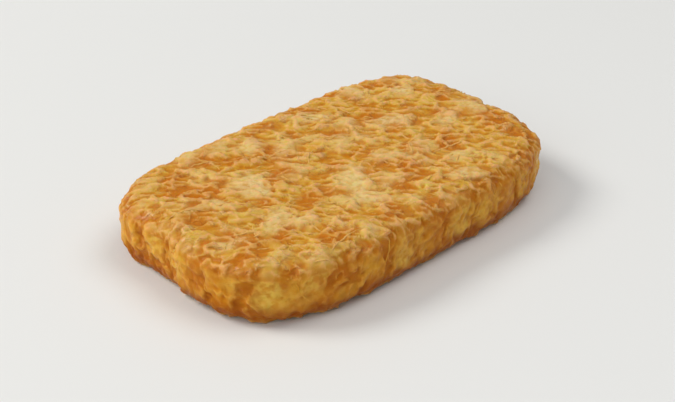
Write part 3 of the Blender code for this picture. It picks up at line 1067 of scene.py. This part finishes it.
def crust_colour(mix):
    """The colour of the potato: golden, pale on the broad strips, and painted browner shade in the
    creases.
    """
    hollow, broad = mix.stored("hollow"), mix.stored("broad_hollow")
    pale, side = mix.stored("pale"), mix.stored("side")
    drift = mix.range(mix.noise(DRIFT_SPAN, detail=3.0), *DRIFT_RANGE)
    colour = plain_colour(mix, side, drift)
    # Painted shade: the deep places darkened towards the pits' gold, less where the drift is light
    near_share, broad_share = HOLLOW_SHADE_SHARES
    hollow_shade = mix.math("MULTIPLY_ADD", hollow, near_share, mix.times(broad, broad_share))
    hollow_shade = mix.times(mix.range(hollow_shade, *HOLLOW_SHADE_RANGE), mix.range(drift, *HOLLOW_SHADE_DRIFT))
    colour = mix.mix(mix.times(hollow_shade, HOLLOW_SHADE_TINT), colour, PIT_GOLD_AND_SHADE)
    pale_colour = mix.mix(side, PALE, SIDE_PALE)
    colour = mix.mix(mix.times(paleness(mix, side), PALE_TINT), colour, pale_colour)
    not_pale = mix.range(pale, *NOT_PALE)
    painted_crease_shade = creases(mix, side, hollow, broad, not_pale)
    colour = mix.mix(mix.times(painted_crease_shade, CREASE_SHADE_TINT), colour, CREASE_SHADE)
    brown = browning(mix, hollow, not_pale)
    colour = mix.mix(mix.times(brown, BROWN_TINT), colour, BROWN)
    # The ridges' peach: partly their own colour, partly a painted highlight
    ridge = mix.times(ridges(mix, pale, hollow, brown), RIDGE_AND_HIGHLIGHT_TINT)
    colour = mix.mix(ridge, colour, mix.mix(side, RIDGE_PEACH_AND_HIGHLIGHT, SIDE_RIDGE_AND_HIGHLIGHT))
    # The foot band: partly browning, partly painted shade near the floor
    foot = mix.times(mix.stored("foot"), mix.range(mix.noise(FOOT_MOTTLE_SPAN), *FOOT_MOTTLE))
    return mix.mix(mix.times(foot, FOOT_BROWN_AND_SHADE_TINT), colour, FOOT_BROWN_AND_SHADE)


def crust_roughness(mix):
    grease = mix.range(mix.noise(GREASE_SPAN), *GREASE_RANGE)
    dull = mix.math(
        "ADD", mix.times(grease, GREASE_DULLS), mix.times(mix.stored("ridge"), RIDGES_DULL)
    )
    dull = mix.math("SUBTRACT", dull, mix.times(mix.stored("pale"), PALE_SHINES))
    return mix.math("ADD", dull, ROUGHNESS)


def crust_wrinkles(mix):
    """The finest relief, flatter on the pale strips and on the wall."""
    pale = mix.stored("pale")
    wrinkles = mix.times(fine_lines(mix), mix.range(pale, *WRINKLES_ON_PALE))
    wrinkles = mix.times(wrinkles, mix.range(mix.stored("side"), *WRINKLES_ON_SIDE))
    grit = mix.times(mix.noise(GRIT_SPAN, detail=3.0), mix.range(pale, *GRIT_ON_PALE))
    return mix.bump(mix.math("MULTIPLY_ADD", grit, GRIT_SHARE, wrinkles), WRINKLE_HEIGHT)


def fried_potato(name, subsurface):
    material = bpy.data.materials.new(name)
    material.use_nodes = True
    mix = Mixer(material)
    shader = material.node_tree.nodes["Principled BSDF"].inputs
    oil = mix.range(mix.noise(OIL_SPAN), *OIL)
    mix.feed(shader["Base Color"], crust_colour(mix))
    mix.feed(shader["Roughness"], crust_roughness(mix))
    mix.feed(shader["Coat Weight"], mix.times(oil, mix.range(mix.stored("side"), *OIL_ON_SIDE)))
    mix.feed(shader["Normal"], crust_wrinkles(mix))
    shader["Coat Roughness"].default_value = OIL_ROUGHNESS
    shader["IOR"].default_value = IOR
    shader["Specular IOR Level"].default_value = SPECULAR
    shader["Subsurface Weight"].default_value = subsurface
    shader["Subsurface Radius"].default_value = SUBSURFACE_RADIUS
    shader["Subsurface Scale"].default_value = SUBSURFACE_SCALE
    return material


def pale_floor():
    material = bpy.data.materials.new("pale floor")
    material.use_nodes = True
    mix = Mixer(material)
    shader = material.node_tree.nodes["Principled BSDF"].inputs
    cloud = mix.noise(FLOOR_CLOUD_SPAN, detail=1.0)
    mix.feed(shader["Base Color"], mix.mix(cloud, FLOOR_LOW, FLOOR_HIGH))
    shader["Roughness"].default_value = FLOOR_ROUGHNESS
    return material


def build_floor():
    mesh = bpy.data.meshes.new("floor")
    sheet = bmesh.new()
    bmesh.ops.create_grid(sheet, x_segments=1, y_segments=1, size=FLOOR_SIZE / 2)
    sheet.to_mesh(mesh)
    sheet.free()
    mesh.materials.append(pale_floor())
    floor = bpy.data.objects.new("floor", mesh)
    bpy.context.scene.collection.objects.link(floor)
    floor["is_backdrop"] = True


def build_light(name, place, size, power, colour):
    light = bpy.data.lights.new(name, "AREA")
    light.shape = "DISK"
    light.size = size
    light.energy = power
    light.color = colour
    lamp = bpy.data.objects.new(name, light)
    lamp.location = place
    aim = Vector(LIT_POINT) - Vector(place)
    lamp.rotation_euler = aim.to_track_quat("-Z", "Y").to_euler()
    bpy.context.scene.collection.objects.link(lamp)


def build_studio():
    world = bpy.data.worlds.new("studio")
    world.use_nodes = True
    background = world.node_tree.nodes["Background"].inputs
    background["Color"].default_value = SKY
    background["Strength"].default_value = SKY_STRENGTH
    bpy.context.scene.world = world
    for row in LIGHTS:
        build_light(*row)
    bpy.context.scene.view_settings.view_transform = "Standard"


def build_camera():
    lens = bpy.data.cameras.new("camera")
    lens.lens = LENS
    lens.sensor_width = SENSOR
    lens.clip_start = CLIP_START
    camera = bpy.data.objects.new("camera", lens)
    back = Vector(VIEW_BACK).normalized()
    turn = back.to_track_quat("Z", "Y").to_matrix().to_4x4() @ Matrix.Rotation(ROLL, 4, "Z")
    camera.matrix_world = Matrix.Translation(Vector(AIM) + back * DISTANCE) @ turn
    bpy.context.scene.collection.objects.link(camera)
    bpy.context.scene.camera = camera


def write_sizes():
    boxes = {"cad": CAD_BOX, "visual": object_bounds()}
    {name: [list(corner) for corner in box] for name, box in boxes.items()}


build_camera()
build_studio()
build_floor()
crust = build_crust(fried_potato("fried potato", SUBSURFACE))
build_threads(crust, fried_potato("crisp potato", CRISP_SUBSURFACE))
write_sizes()
